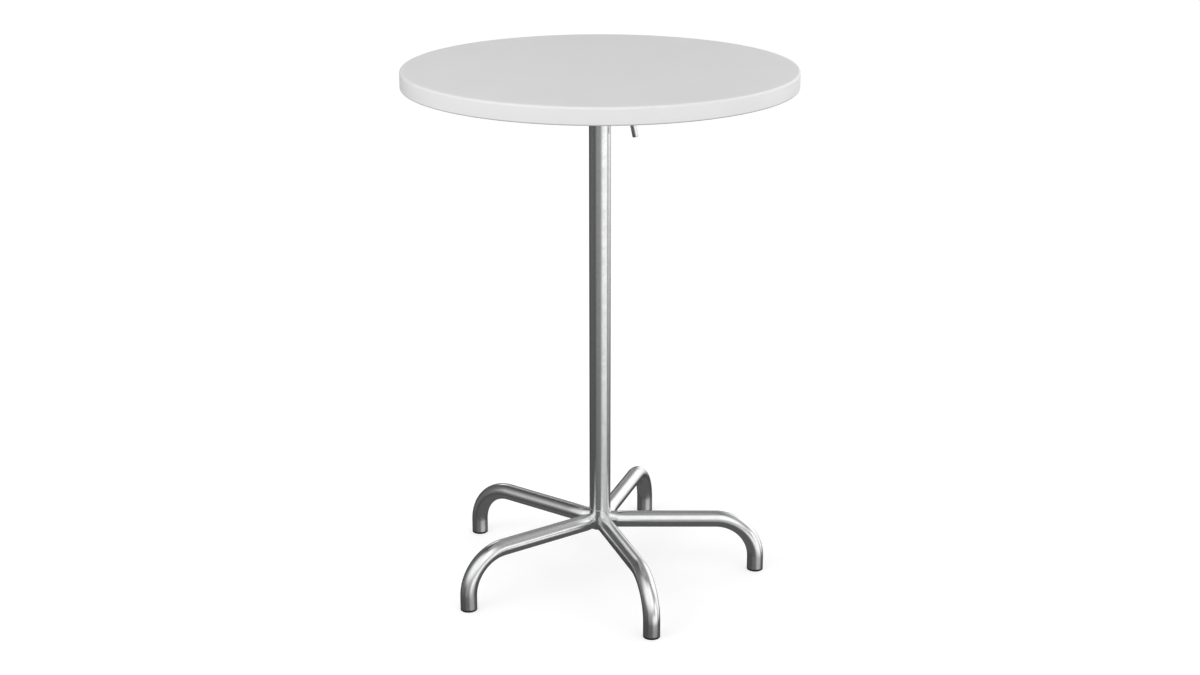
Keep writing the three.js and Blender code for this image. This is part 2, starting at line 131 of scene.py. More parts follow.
# What the steel mirrors: a grey room, a little lighter below, and in it the softboxes and walls. A panel
# has its left and right edge in degrees round to the right of the front, then its lower and upper edge in
# degrees up, each edge followed by its softness, and then its brightness.
ROOM_GREY = 0.06
UNDER_GREY = 0.11
UNDER_START, UNDER_END = -26.0, -40.0
PANELS = {
    "left_wall": (-122, 8, -62, 14, -20, 8, 70, 15, 0.075),
    "front_wall": (-42, 18, 20, 12, -21, 9, 6, 16, 0.27),
    "front_softbox": (-70, 35, 46, 16, 8, 15, 70, 14, 1.06),
    "right_softbox": (17, 14, 82, 10, -22.0, 9, -3, 6, 1.20),
    "right_high_softbox": (54, 10, 82, 10, -3, 6, 16, 8, 1.30),
    "right_wall": (20, 15, 150, 12, 10, 20, 75, 20, 0.33),
    "back_right_softbox": (90, 10, 160, 12, -12, 10, 44, 13, 1.02),
    "low_right_softbox": (96, 8, 126, 6, -18, 8, -6, 6, 0.60),
    "back_low_softbox": (160, 6, 174, 4, -17, 6, 9, 7, 1.05),
    "back_wall": (160, 15, 200, 5, 5, 10, 75, 20, 0.22),
    "back_left_wall": (-200, 5, -162, 10, 5, 10, 75, 20, 0.22),
    "back_left_softbox": (-172, 3, -155, 4, 23, 5, 34, 5, 1.60),
    "far_left_wall": (-150, 8, -125, 8, 2, 8, 45, 15, 0.06)}
room = bpy.data.worlds.new("studio")
room.use_nodes = True
scene.world = room
tree = room.node_tree
tree.nodes.clear()
direction = add_node(tree, "ShaderNodeTexCoord").outputs["Generated"]
looking = add_node(tree, "ShaderNodeSeparateXYZ", {0: direction})
to_the_front = maths(tree, "MULTIPLY", looking.outputs[1], -1.0)
turn = maths(tree, "DEGREES", maths(tree, "ARCTAN2", looking.outputs[0], to_the_front))
rise = maths(tree, "DEGREES", maths(tree, "ARCSINE", looking.outputs[2]))
walls = eased(tree, rise, UNDER_START, UNDER_END, ROOM_GREY, UNDER_GREY)
for left, left_soft, right, right_soft, low, low_soft, high, high_soft, light in PANELS.values():
    panel = eased(tree, turn, left - left_soft, left + left_soft, 0.0, light)
    panel = maths(tree, "MULTIPLY", panel, eased(tree, turn, right + right_soft, right - right_soft))
    panel = maths(tree, "MULTIPLY", panel, eased(tree, rise, low - low_soft, low + low_soft))
    panel = maths(tree, "MULTIPLY", panel, eased(tree, rise, high + high_soft, high - high_soft))
    walls = maths(tree, "ADD", walls, panel)
to_the_right = maths(tree, "MAXIMUM", looking.outputs[0], GLOW_LEFT_LIMIT)
glow = maths(tree, "MULTIPLY_ADD", to_the_right, RIGHT_GLOW, HORIZON_GLOW)
glow = maths(tree, "MULTIPLY_ADD", eased(tree, rise, GLOW_HIGH, GLOW_LOW), glow, AMBIENT)
brightness = blended(tree, ray_is_seen(tree), glow, 1.0)
mirrored = add_node(tree, "ShaderNodeLightPath").outputs["Is Glossy Ray"]
brightness = blended(tree, mirrored, brightness, walls)
sky = add_node(tree, "ShaderNodeBackground", {"Color": (1.0, 1.0, 1.0, 1.0), "Strength": brightness})
add_node(tree, "ShaderNodeOutputWorld", {"Surface": sky.outputs["Background"]})

# Each lamp has its place, its size and its power.
LAMPS = {"key_lamp": ((3.4, -2.9, 1.7), 2.4, 12.0), "fill_lamp": ((-2.5, -1.9, 2.8), 2.0, 23.0)}
AIM = Vector((0.0, 0.0, 0.85))
for name, (place, size, power) in LAMPS.items():
    lamp = bpy.data.lights.new(name, "AREA")
    lamp.size = size
    lamp.energy = power
    lamp_stand = added(name, lamp)
    lamp_stand.location = place
    lamp_stand.rotation_euler = (AIM - Vector(place)).to_track_quat("-Z", "Y").to_euler()
    lamp_stand.visible_glossy = False

FOUR_CORNERS = ((-1, -1), (1, -1), (1, 1), (-1, 1))
FLOOR_HALF = 20.0
FLOOR_GREY = 0.60
FLOOR_LIFT = 0.50
floor_mesh = bpy.data.meshes.new("studio_floor")
floor_mesh.from_pydata([(x * FLOOR_HALF, y * FLOOR_HALF, 0.0) for x, y in FOUR_CORNERS], [], [(0, 1, 2, 3)])
floor = added("studio_floor", floor_mesh)
floor.visible_glossy = False
floor_paint, tree, paint = new_finish("studio_floor_paint")
paint.inputs["Base Color"].default_value = (FLOOR_GREY, FLOOR_GREY, FLOOR_GREY, 1.0)
paint.inputs["Roughness"].default_value = 0.9
paint.inputs["Specular IOR Level"].default_value = 0.1
paint.inputs["Emission Color"].default_value = (1.0, 1.0, 1.0, 1.0)
tree.links.new(maths(tree, "MULTIPLY", ray_is_seen(tree), FLOOR_LIFT), paint.inputs["Emission Strength"])
floor_mesh.materials.append(floor_paint)
floor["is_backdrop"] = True


# Hub: a short turned steel ring, galvanised, that carries the five legs. It is welded all round,
# and its spigot goes up inside the column.
def new_group(name, kind, inputs, outputs):
    """An empty node group and its input values; sockets are given as names under each type."""
    group = bpy.data.node_groups.new(name, kind)
    for in_out, sockets in (("INPUT", inputs), ("OUTPUT", outputs)):
        for socket_type, labels in sockets.items():
            for label in labels:
                group.interface.new_socket(label, in_out=in_out, socket_type="NodeSocket" + socket_type)
    return group, add_node(group, "NodeGroupInput").outputs


def zinc_skin():
    """Shader group: the cloudy patches and small crystals of a zinc coating, and its fine tooth."""
    group, given = new_group("zinc_skin", "ShaderNodeTree",
                             {"Float": ("Cloud Scale", "Crystal Scale", "Tooth Scale")},
                             {"Float": ("Patches", "Crystals", "Tooth")})
    place = add_node(group, "ShaderNodeTexCoord").outputs["Object"]
    cloud = add_node(group, "ShaderNodeTexNoise", {
        "Vector": place, "Scale": given["Cloud Scale"], "Detail": 5.0, "Roughness": 0.62, "Distortion": 0.6})
    crystal = add_node(group, "ShaderNodeTexVoronoi", {
        "Vector": place, "Scale": given["Crystal Scale"], "Randomness": 1.0})
    grains = add_node(group, "ShaderNodeSeparateColor", {0: crystal.outputs["Color"]}).outputs[0]
    tooth = add_node(group, "ShaderNodeTexNoise", {
        "Vector": place, "Scale": given["Tooth Scale"], "Detail": 3.0, "Roughness": 0.6})
    add_node(group, "NodeGroupOutput", {"Patches": eased(group, cloud.outputs[0], 0.32, 0.70),
                                        "Crystals": grains, "Tooth": tooth.outputs[0]})
    return group


def surfaced(tree, shader, colour, roughness, height, relief, depth):
    """Gives a shader its colour, its roughness and a fine relief from a height."""
    tree.links.new(colour, shader.inputs["Base Color"])
    tree.links.new(roughness, shader.inputs["Roughness"])
    bump = add_node(tree, "ShaderNodeBump", {"Height": height, "Strength": relief, "Distance": depth})
    tree.links.new(bump.outputs["Normal"], shader.inputs["Normal"])


ZINC_SKIN = zinc_skin()
TOOTH_DEPTH = 0.0004


def metal(name, dark, light, rough_low, rough_high, cloud=38.0, crystal=210.0, tooth=900.0, relief=0.03):
    """A steel or brass finish: two tones mixed by the zinc patches, with varying gloss and a fine tooth."""
    finish, tree, shader = new_finish(name)
    shader.inputs["Metallic"].default_value = 1.0
    scales = {"Cloud Scale": cloud, "Crystal Scale": crystal, "Tooth Scale": tooth}
    skin = add_node(tree, "ShaderNodeGroup", scales, node_tree=ZINC_SKIN).outputs
    tone = maths(tree, "MULTIPLY_ADD", skin["Crystals"], 0.35, maths(tree, "MULTIPLY", skin["Patches"], 0.65))
    colour = blended(tree, tone, (*dark, 1.0), (*light, 1.0), "RGBA")
    roughness = eased(tree, tone, 0.1, 0.9, rough_high, rough_low)
    surfaced(tree, shader, colour, roughness, skin["Tooth"], relief, TOOTH_DEPTH)
    return finish


GALVANISED = metal("galvanised_steel", (0.79, 0.795, 0.80), (0.86, 0.862, 0.865), 0.20, 0.25)


def circle_of(count):
    """Angles all the way round, evenly spaced."""
    return [2.0 * math.pi * i / count for i in range(count)]


def mesh_of(shape):
    """The mesh of a finished shape."""
    mesh = bpy.data.meshes.new("shape")
    shape.to_mesh(mesh)
    shape.free()
    return mesh


def turned(profile, sides, closed=False):
    """A body of revolution about Z from (radius, height) points given upwards on the outside.
    A third number makes that ring a polygon with so many flats, the radius being to a flat."""
    made = bmesh.new()
    rings = []
    for point in profile:
        radius, height = point[:2]
        flats = point[2] if len(point) > 2 else 0
        if radius == 0.0:
            rings.append([made.verts.new((0.0, 0.0, height))] * sides)
            continue
        ring = []
        for angle in circle_of(sides):
            reach = radius
            if flats:
                step = 2.0 * math.pi / flats
                reach = radius / math.cos((angle + step / 2) % step - step / 2)
            ring.append(made.verts.new((reach * math.cos(angle), reach * math.sin(angle), height)))
        rings.append(ring)
    pairs = list(zip(rings, rings[1:]))
    if closed:
        pairs.append((rings[-1], rings[0]))
    for lower, upper in pairs:
        for i in range(sides):
            j = (i + 1) % sides
            corners = list(dict.fromkeys((lower[i], lower[j], upper[j], upper[i])))
            if len(corners) > 2:
                made.faces.new(corners)
    bmesh.ops.recalc_face_normals(made, faces=made.faces)
    return mesh_of(made)


def rounded(centre_radius, centre_height, radius, start, end, steps=6):
    """Points of a round edge on a profile, from one angle to another in degrees."""
    angles = [math.radians(start + (end - start) * i / steps) for i in range(steps + 1)]
    return [(centre_radius + radius * math.cos(a), centre_height + radius * math.sin(a)) for a in angles]


def piece_of(name, mesh, finish, crease=32.0):
    """A finished piece at the origin, smooth except at edges sharper than the crease."""
    mesh.name = name
    mesh.polygons.foreach_set("use_smooth", [True] * len(mesh.polygons))
    mesh.set_sharp_from_angle(angle=math.radians(crease))
    mesh.materials.clear()
    mesh.materials.append(finish)
    return added(name, mesh)


COLUMN_RADIUS = 0.0225
LEG_RADIUS = 0.0175
LEG_AXIS = 0.118
HUB_BOTTOM = LEG_AXIS - LEG_RADIUS
HUB_SHOULDER = 0.145
HUB_TOP = 0.18
HUB_SPIGOT = 0.0197
HUB_BORE = 0.014
HUB_EDGE = 0.001
HUB_ROUND = 0.0015
hub_profile = [(HUB_BORE, HUB_BOTTOM + HUB_EDGE), (HUB_BORE + HUB_EDGE, HUB_BOTTOM)]
hub_profile += rounded(COLUMN_RADIUS - HUB_ROUND, HUB_BOTTOM + HUB_ROUND, HUB_ROUND, -90, 0)
hub_profile += [(COLUMN_RADIUS, HUB_SHOULDER), (HUB_SPIGOT, HUB_SHOULDER), (HUB_SPIGOT, HUB_TOP - HUB_EDGE),
                (HUB_SPIGOT - HUB_EDGE, HUB_TOP), (HUB_BORE, HUB_TOP)]
hub = piece_of("hub", turned(hub_profile, 64, closed=True), GALVANISED)
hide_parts("hub")
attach(hub, "stand")


# Hub weld: the pinched roots of the five legs and the weld that joins them to the hub, dressed smooth and
# galvanised with the stand. The tubes keep their height there and narrow towards the hub's wall.
LEG_COUNT = 5
PINCH_START = 0.0195
PINCH_END = 0.038
PINCH_HALF_WIDTH = 0.0112
LEAST_FILL = 0.001
CELL_ROOM = 0.003


def finished(group, shape, finish):
    """Ends a Geometry Nodes tree: the shape is made real and gets its finish."""
    real = add_node(group, "GeometryNodeRealizeInstances", {0: shape}).outputs[0]
    painted = add_node(group, "GeometryNodeSetMaterial", {"Geometry": real, "Material": finish})
    add_node(group, "NodeGroupOutput", {"Geometry": painted.outputs[0]})
    return group


def hub_weld_tree():
    """Geometry Nodes: the soft union of a post and pinched tubes set round it, as a closed skin."""
    group, given = new_group("hub_weld", "GeometryNodeTree", {
        "Float": ("Post Radius", "Tube Radius", "Tube Height", "Pinch From", "Pinch To", "Pinch Half Width",
                  "Valley Fill", "Post Fill", "Fill From", "Sink", "Reach", "Bottom", "Top"),
        "Int": ("Tubes", "Cells"), "Material": ("Finish",)}, {"Geometry": ("Geometry",)})

    def times(first, second):
        return maths(group, "MULTIPLY", first, second)

    def less(first, second):
        return maths(group, "SUBTRACT", first, second)

    def length(first, second):
        return maths(group, "SQRT", maths(group, "ADD", times(first, first), times(second, second)))

    place = add_node(group, "GeometryNodeInputPosition").outputs[0]
    x, y, z = add_node(group, "ShaderNodeSeparateXYZ", {0: place}).outputs
    out = length(x, y)
    sector = maths(group, "DIVIDE", 2.0 * math.pi, given["Tubes"])
    half = times(sector, 0.5)
    angle = maths(group, "ADD", maths(group, "ARCTAN2", y, x), half)
    near = maths(group, "ABSOLUTE", less(maths(group, "FLOORED_MODULO", angle, sector), half))
    far = less(sector, near)
    level = less(z, given["Tube Height"])
    squeeze = maths(group, "DIVIDE", given["Tube Radius"], given["Pinch Half Width"])

    def from_tube(turned_by):
        along = times(out, maths(group, "COSINE", turned_by))
        aside = times(out, maths(group, "SINE", turned_by))
        pinch = add_node(group, "ShaderNodeMapRange", {
            "Value": along, "From Min": given["Pinch From"], "From Max": given["Pinch To"],
            "To Min": squeeze, "To Max": 1.0}).outputs["Result"]
        return less(length(times(aside, pinch), level), given["Tube Radius"])

    filled = eased(group, z, given["Fill From"], given["Tube Height"])
    valley_fill = maths(group, "MULTIPLY_ADD", filled, given["Valley Fill"], LEAST_FILL)
    post_fill = maths(group, "MULTIPLY_ADD", filled, given["Post Fill"], LEAST_FILL)
    skin = maths(group, "SMOOTH_MIN", from_tube(near), from_tube(far), valley_fill)
    skin = maths(group, "SMOOTH_MIN", skin, less(out, given["Post Radius"]), post_fill)
    skin = maths(group, "ADD", skin, given["Sink"])
    for beyond, limit in ((out, given["Reach"]), (given["Bottom"], z), (z, given["Top"])):
        skin = maths(group, "MAXIMUM", skin, less(beyond, limit))
    side = times(given["Reach"], 1.06)
    back = times(side, -1.0)
    low = add_node(group, "ShaderNodeCombineXYZ", {0: back, 1: back, 2: less(given["Bottom"], CELL_ROOM)})
    high = add_node(group, "ShaderNodeCombineXYZ", {
        0: side, 1: side, 2: maths(group, "ADD", given["Top"], CELL_ROOM)})
    cloud = add_node(group, "GeometryNodeVolumeCube", {
        "Density": times(skin, -1.0), "Background": -1.0, "Min": low.outputs[0], "Max": high.outputs[0],
        "Resolution X": given["Cells"], "Resolution Y": given["Cells"],
        "Resolution Z": times(given["Cells"], 0.5)})
    mesh = add_node(group, "GeometryNodeVolumeToMesh", {"Volume": cloud.outputs[0], "Threshold": 0.0})
    return finished(group, mesh.outputs[0], given["Finish"])


def settled(host):
    """The plain mesh of an object after its modifiers; the object itself goes."""
    view = bpy.context.evaluated_depsgraph_get()
    mesh = bpy.data.meshes.new_from_object(host.evaluated_get(view))
    host.modifiers.clear()
    bpy.data.objects.remove(host)
    return mesh


def grown(tree, settings):
    """The plain mesh that a Geometry Nodes tree makes from its named inputs."""
    host = added("host", bpy.data.meshes.new("host"))
    modifier = host.modifiers.new("grow", "NODES")
    modifier.node_group = tree
    sockets = {s.name: s.identifier for s in tree.interface.items_tree if s.in_out == "INPUT"}
    for name, value in settings.items():
        modifier[sockets[name]] = value
    return settled(host)


hub_weld_mesh = grown(hub_weld_tree(), {
    "Post Radius": COLUMN_RADIUS, "Tube Radius": LEG_RADIUS, "Tube Height": LEG_AXIS,
    "Pinch From": PINCH_START, "Pinch To": PINCH_END, "Pinch Half Width": PINCH_HALF_WIDTH,
    "Valley Fill": 0.001, "Post Fill": 0.001, "Fill From": 0.100, "Sink": 0.00006, "Reach": 0.042,
    "Bottom": HUB_BOTTOM + 0.0003, "Top": 0.156, "Tubes": LEG_COUNT, "Cells": 176, "Finish": GALVANISED})
hub_weld = piece_of("hub_weld", hub_weld_mesh, GALVANISED, 180.0)
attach(hub_weld, "stand")


# Legs: five equal steel tubes, each bent down once to its foot on a tube bender and pinched at its inner
# end, then welded to the hub and galvanised. The pinched ends are part of the hub weld above.
def swept_round_tree():
    """Geometry Nodes: a round bar along a route; ripples along it make it a weld bead."""
    group, given = new_group("swept_round", "GeometryNodeTree", {
        "Object": ("Route",), "Float": ("Radius", "Ripple Pitch", "Ripple Depth"), "Int": ("Sides",),
        "Bool": ("Closed Ends",), "Material": ("Finish",)}, {"Geometry": ("Geometry",)})
    route = add_node(group, "GeometryNodeObjectInfo", {"Object": given["Route"]}).outputs["Geometry"]
    line = add_node(group, "GeometryNodeMeshToCurve", {"Mesh": route}).outputs[0]
    along = add_node(group, "GeometryNodeSplineParameter").outputs["Length"]
    wave = maths(group, "FRACT", maths(group, "DIVIDE", along, given["Ripple Pitch"]))
    swell = maths(group, "MULTIPLY_ADD", maths(group, "SUBTRACT", 0.5, wave), given["Ripple Depth"], 1.0)
    section = add_node(group, "GeometryNodeCurvePrimitiveCircle", {
        "Resolution": given["Sides"], "Radius": given["Radius"]}).outputs["Curve"]
    skin = add_node(group, "GeometryNodeCurveToMesh", {
        "Curve": line, "Profile Curve": section, "Scale": swell, "Fill Caps": given["Closed Ends"]})
    return finished(group, skin.outputs[0], given["Finish"])


def copies_round_tree():
    """Geometry Nodes: copies of one piece set evenly round the upright axis."""
    group, given = new_group("copies_round", "GeometryNodeTree", {
        "Object": ("Piece",), "Int": ("Copies",), "Float": ("Radius", "First Angle"),
        "Material": ("Finish",)}, {"Geometry": ("Geometry",)})
    number = add_node(group, "GeometryNodeInputIndex").outputs[0]
    step = maths(group, "DIVIDE", 2.0 * math.pi, given["Copies"])
    angle = maths(group, "MULTIPLY_ADD", number, step, given["First Angle"])
    spot = add_node(group, "ShaderNodeCombineXYZ", {
        0: maths(group, "MULTIPLY", maths(group, "COSINE", angle), given["Radius"]),
        1: maths(group, "MULTIPLY", maths(group, "SINE", angle), given["Radius"])})
    points = add_node(group, "GeometryNodePoints", {"Count": given["Copies"], "Position": spot.outputs[0]})
    facing = add_node(group, "FunctionNodeEulerToRotation", {
        0: add_node(group, "ShaderNodeCombineXYZ", {2: angle}).outputs[0]})
    piece = add_node(group, "GeometryNodeObjectInfo", {"Object": given["Piece"]}).outputs["Geometry"]
    copies = add_node(group, "GeometryNodeInstanceOnPoints", {
        "Points": points.outputs[0], "Instance": piece, "Rotation": facing.outputs[0]})
    return finished(group, copies.outputs[0], given["Finish"])


SWEPT_ROUND = swept_round_tree()
COPIES_ROUND = copies_round_tree()


def swept(points, radius, finish, sides, loop=False, pitch=1.0, depth=0.0, ends=True):
    """A round bar or a rippled weld bead along the points of a route."""
    mesh = bpy.data.meshes.new("route")
    edges = [(i, i + 1) for i in range(len(points) - 1)]
    if loop:
        edges.append((len(points) - 1, 0))
    mesh.from_pydata(points, edges, [])
    route = added("route", mesh)
    made = grown(SWEPT_ROUND, {
        "Route": route, "Radius": radius, "Ripple Pitch": pitch, "Ripple Depth": depth, "Sides": sides,
        "Closed Ends": ends and not loop, "Finish": finish})
    bpy.data.objects.remove(route)
    return made


def copied_round(mesh, copies, finish, radius=0.0, first_angle=0.0):
    """One mesh repeated round the upright axis."""
    one = added("one", mesh)
    made = grown(COPIES_ROUND, {
        "Piece": one, "Copies": copies, "Radius": radius, "First Angle": first_angle, "Finish": finish})
    bpy.data.objects.remove(one)
    return made


def worked(mesh, *modifiers):
    """The mesh after modifiers, each given as (type, settings)."""
    host = added("host", mesh)
    for kind, settings in modifiers:
        modifier = host.modifiers.new(kind.lower(), kind)
        for name, value in settings.items():
            setattr(modifier, name, value)
    return settled(host)


FOOT_CIRCLE = 0.337
BEND_RADIUS = 0.0875
BEND_START = FOOT_CIRCLE - BEND_RADIUS
LEG_WALL = 0.0025
LEG_END = 0.0043
LEG_SIDES = 56
straight_steps, bend_steps = 6, 28
bend = [math.pi / 2 * i / bend_steps for i in range(bend_steps + 1)]
leg_route = [(PINCH_END + (BEND_START - PINCH_END) * i / straight_steps, 0.0, LEG_AXIS)
             for i in range(straight_steps)]
leg_route += [(BEND_START + BEND_RADIUS * math.sin(a), 0.0, LEG_AXIS - BEND_RADIUS * (1.0 - math.cos(a)))
              for a in bend]
leg_route += [(FOOT_CIRCLE, 0.0, LEG_END + above) for above in (0.012, 0.0008, 0.0)]
leg_skin = swept(leg_route, LEG_RADIUS, GALVANISED, LEG_SIDES, ends=False)
# The open tube's faces have to look outwards before it gets its wall.
leg_shape = bmesh.new()
leg_shape.from_mesh(leg_skin)
bmesh.ops.recalc_face_normals(leg_shape, faces=leg_shape.faces)
middle = sum((v.co for v in leg_shape.verts if v.co.x < PINCH_END + 0.001), Vector()) / LEG_SIDES
first_face = min(leg_shape.faces, key=lambda f: f.calc_center_median().x)
if first_face.normal.dot(first_face.calc_center_median() - middle) < 0.0:
    bmesh.ops.reverse_faces(leg_shape, faces=leg_shape.faces)
leg_shape.to_mesh(leg_skin)
leg_shape.free()
one_leg = worked(leg_skin, ("SOLIDIFY", {"thickness": LEG_WALL, "offset": -1.0}),
                 ("BEVEL", {"width": 0.0005, "segments": 2, "limit_method": "ANGLE",
                            "angle_limit": math.radians(60)}))
legs = piece_of("legs", copied_round(one_leg, LEG_COUNT, GALVANISED), GALVANISED)
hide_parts("leg_1", "leg_2", "leg_3", "leg_4", "leg_5")
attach(legs, "stand")


# Glides: black injection-moulded plugs pressed into the leg ends. Their flange stands on the floor,
# and its lower edge is scuffed grey from being pushed about.
def moulded_grain():
    """Shader group: the fine pebbled grain of a moulded surface and its slow uneven gloss."""
    group, given = new_group("moulded_grain", "ShaderNodeTree", {"Float": ("Grain Scale", "Cloud Scale")},
                             {"Float": ("Grain", "Cloud")})
    place = add_node(group, "ShaderNodeTexCoord").outputs["Object"]
    grain = add_node(group, "ShaderNodeTexNoise", {
        "Vector": place, "Scale": given["Grain Scale"], "Detail": 2.0, "Roughness": 0.5})
    cloud = add_node(group, "ShaderNodeTexNoise", {
        "Vector": place, "Scale": given["Cloud Scale"], "Detail": 4.0, "Roughness": 0.6})
    add_node(group, "NodeGroupOutput", {"Grain": eased(group, grain.outputs[0], 0.3, 0.7),
                                        "Cloud": eased(group, cloud.outputs[0], 0.3, 0.7)})
    return group


MOULDED_GRAIN = moulded_grain()


def moulding(name, dark, light, rough_low, rough_high, grain, cloud, relief, depth, gloss=0.5):
    """A plastic, rubber or lacquer finish with a moulded grain."""
    finish, tree, shader = new_finish(name)
    shader.inputs["Specular IOR Level"].default_value = gloss
    scales = {"Grain Scale": grain, "Cloud Scale": cloud}
    skin = add_node(tree, "ShaderNodeGroup", scales, node_tree=MOULDED_GRAIN).outputs
    tone = maths(tree, "MULTIPLY_ADD", skin["Grain"], 0.3, maths(tree, "MULTIPLY", skin["Cloud"], 0.7))
    colour = blended(tree, tone, (*dark, 1.0), (*light, 1.0), "RGBA")
    roughness = eased(tree, skin["Cloud"], 0.0, 1.0, rough_low, rough_high)
    surfaced(tree, shader, colour, roughness, skin["Grain"], relief, depth)
    return finish


def place_in(tree):
    """A point's place on its piece, and its height alone."""
    place = add_node(tree, "ShaderNodeTexCoord").outputs["Object"]
    return place, add_node(tree, "ShaderNodeSeparateXYZ", {0: place}).outputs[2]


def overlaid(finish, mask, colour):
    """Lays a second colour over a finish where the mask is 1."""
    tree = finish.node_tree
    base = tree.nodes["Principled BSDF"].inputs["Base Color"]
    tree.links.new(blended(tree, mask, base.links[0].from_socket, (*colour, 1.0), "RGBA"), base)


SCUFF_END, SCUFF_FULL = 0.0010, 0.0004
BLACK_PLASTIC = moulding("black_plastic", (0.006, 0.006, 0.0065), (0.013, 0.013, 0.0135), 0.42, 0.60,
                         1500.0, 120.0, 0.25, 0.0003)
tree = BLACK_PLASTIC.node_tree
place, height = place_in(tree)
marks = add_node(tree, "ShaderNodeTexNoise", {"Vector": place, "Scale": 420.0, "Detail": 4.0}).outputs[0]
scuffs = maths(tree, "MULTIPLY", eased(tree, marks, 0.48, 0.66), eased(tree, height, SCUFF_END, SCUFF_FULL))
overlaid(BLACK_PLASTIC, scuffs, (0.11, 0.11, 0.105))

GLIDE_FLANGE = 0.004
GLIDE_TOP = 0.02
GLIDE_PLUG = LEG_RADIUS - LEG_WALL - 0.0003
GLIDE_LEAD_IN = 0.0015
GLIDE_ROUND = 0.0014
GLIDE_EDGE = 0.0005
GLIDE_HOLLOW = 0.0006
glide_profile = [(0.0, GLIDE_HOLLOW), (0.009, GLIDE_HOLLOW), (0.0096, 0.0)]
glide_profile += rounded(LEG_RADIUS - GLIDE_ROUND, GLIDE_ROUND, GLIDE_ROUND, -90, 0)
glide_profile += rounded(LEG_RADIUS - GLIDE_EDGE, GLIDE_FLANGE - GLIDE_EDGE, GLIDE_EDGE, 0, 90, 3)
glide_profile += [(GLIDE_PLUG, GLIDE_FLANGE), (GLIDE_PLUG, GLIDE_TOP - GLIDE_LEAD_IN),
                  (GLIDE_PLUG - GLIDE_LEAD_IN, GLIDE_TOP), (0.0, GLIDE_TOP)]
glides_mesh = copied_round(turned(glide_profile, LEG_SIDES), LEG_COUNT, BLACK_PLASTIC, radius=FOOT_CIRCLE)
glides = piece_of("glides", glides_mesh, BLACK_PLASTIC)
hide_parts("glide_1", "glide_2", "glide_3", "glide_4", "glide_5")
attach(glides, "stand")


# Column: one straight steel tube, galvanised. It slides over the hub's spigot, and its upper end is
# cut to a saddle that the pivot barrel lies in.
PIVOT = 1.0291
BARREL_RADIUS = 0.024
SADDLE_GAP = 0.0003
COLUMN_BORE = 0.020
COLUMN_FOOT = 0.1453
COLUMN_SIDES = 72


def saddle(radius, angle, gap):
    """Height at which a wall of the column meets the barrel above it."""
    return PIVOT - math.sqrt((BARREL_RADIUS + gap) ** 2 - (radius * math.sin(angle)) ** 2)


column_shape = bmesh.new()
column_ends = []
for radius in (COLUMN_RADIUS, COLUMN_BORE):
    foot, head = [], []
    for angle in circle_of(COLUMN_SIDES):
        x, y = radius * math.cos(angle), radius * math.sin(angle)
        foot.append(column_shape.verts.new((x, y, COLUMN_FOOT)))
        head.append(column_shape.verts.new((x, y, saddle(radius, angle, SADDLE_GAP))))
    column_ends.append((foot, head))
(outer_foot, outer_head), (inner_foot, inner_head) = column_ends
for lower, upper in ((outer_foot, outer_head), (outer_head, inner_head), (inner_head, inner_foot),
                     (inner_foot, outer_foot)):
    for i in range(COLUMN_SIDES):
        j = (i + 1) % COLUMN_SIDES
        column_shape.faces.new((lower[i], lower[j], upper[j], upper[i]))
bmesh.ops.recalc_face_normals(column_shape, faces=column_shape.faces)
column = piece_of("column", mesh_of(column_shape), GALVANISED)
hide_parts("column")
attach(column, "stand")


# Stand welds: a bead round the seam of hub and column, and one round the saddle under the pivot
# barrel. Both were laid by hand in overlapping drops, and galvanised with the stand.
WELD_METAL = metal("weld_metal", (0.66, 0.665, 0.67), (0.80, 0.802, 0.805), 0.20, 0.32,
                   60.0, 300.0, 1100.0, 0.12)
WELD_CREASE = 60.0


def bead(route, radius, pitch, depth=0.22, sides=10, loop=True):
    """A weld bead along a route, with a ripple for each drop."""
    return swept(route, radius, WELD_METAL, sides, loop, pitch, depth)


seam_route = [(COLUMN_RADIUS * math.cos(a), COLUMN_RADIUS * math.sin(a), HUB_SHOULDER + 0.00015)
              for a in circle_of(240)]
seam_weld = piece_of("seam_weld", bead(seam_route, 0.0010, 0.0019, 0.16), WELD_METAL, WELD_CREASE)
saddle_route = [(COLUMN_RADIUS * math.cos(a), COLUMN_RADIUS * math.sin(a), saddle(COLUMN_RADIUS, a, 0.0))
                for a in circle_of(300)]
saddle_weld = piece_of("saddle_weld", bead(saddle_route, 0.0022, 0.0026), WELD_METAL, WELD_CREASE)
for weld in (seam_weld, saddle_weld):
    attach(weld, "stand")


# Pivot barrel: a thick tube welded across the head of the column, the hinge of the tilting top.
# A flanged grey plastic bush is pressed into each end for the pivot bolt to turn in.
ALONG_X = Matrix(((0.0, 0.0, 1.0, 0.0), (1.0, 0.0, 0.0, 0.0),
                  (0.0, 1.0, 0.0, PIVOT), (0.0, 0.0, 0.0, 1.0)))
BARREL_BORE = 0.020
BARREL_END = 0.030
BOLT_HOLE = 0.0063


def cut_length(bore, radius, start, end, edge):
    """Profile of a bar or tube cut to length, with broken outer edges."""
    return [(bore, start), (radius - edge, start), (radius, start + edge), (radius, end - edge),
            (radius - edge, end), (bore, end)]


barrel_mesh = turned(cut_length(BARREL_BORE, BARREL_RADIUS, -BARREL_END, BARREL_END, 0.0008), 72, closed=True)
barrel_mesh.transform(ALONG_X)
barrel = piece_of("pivot_barrel_tube", barrel_mesh, GALVANISED)
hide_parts("pivot_barrel")
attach(barrel, "stand")

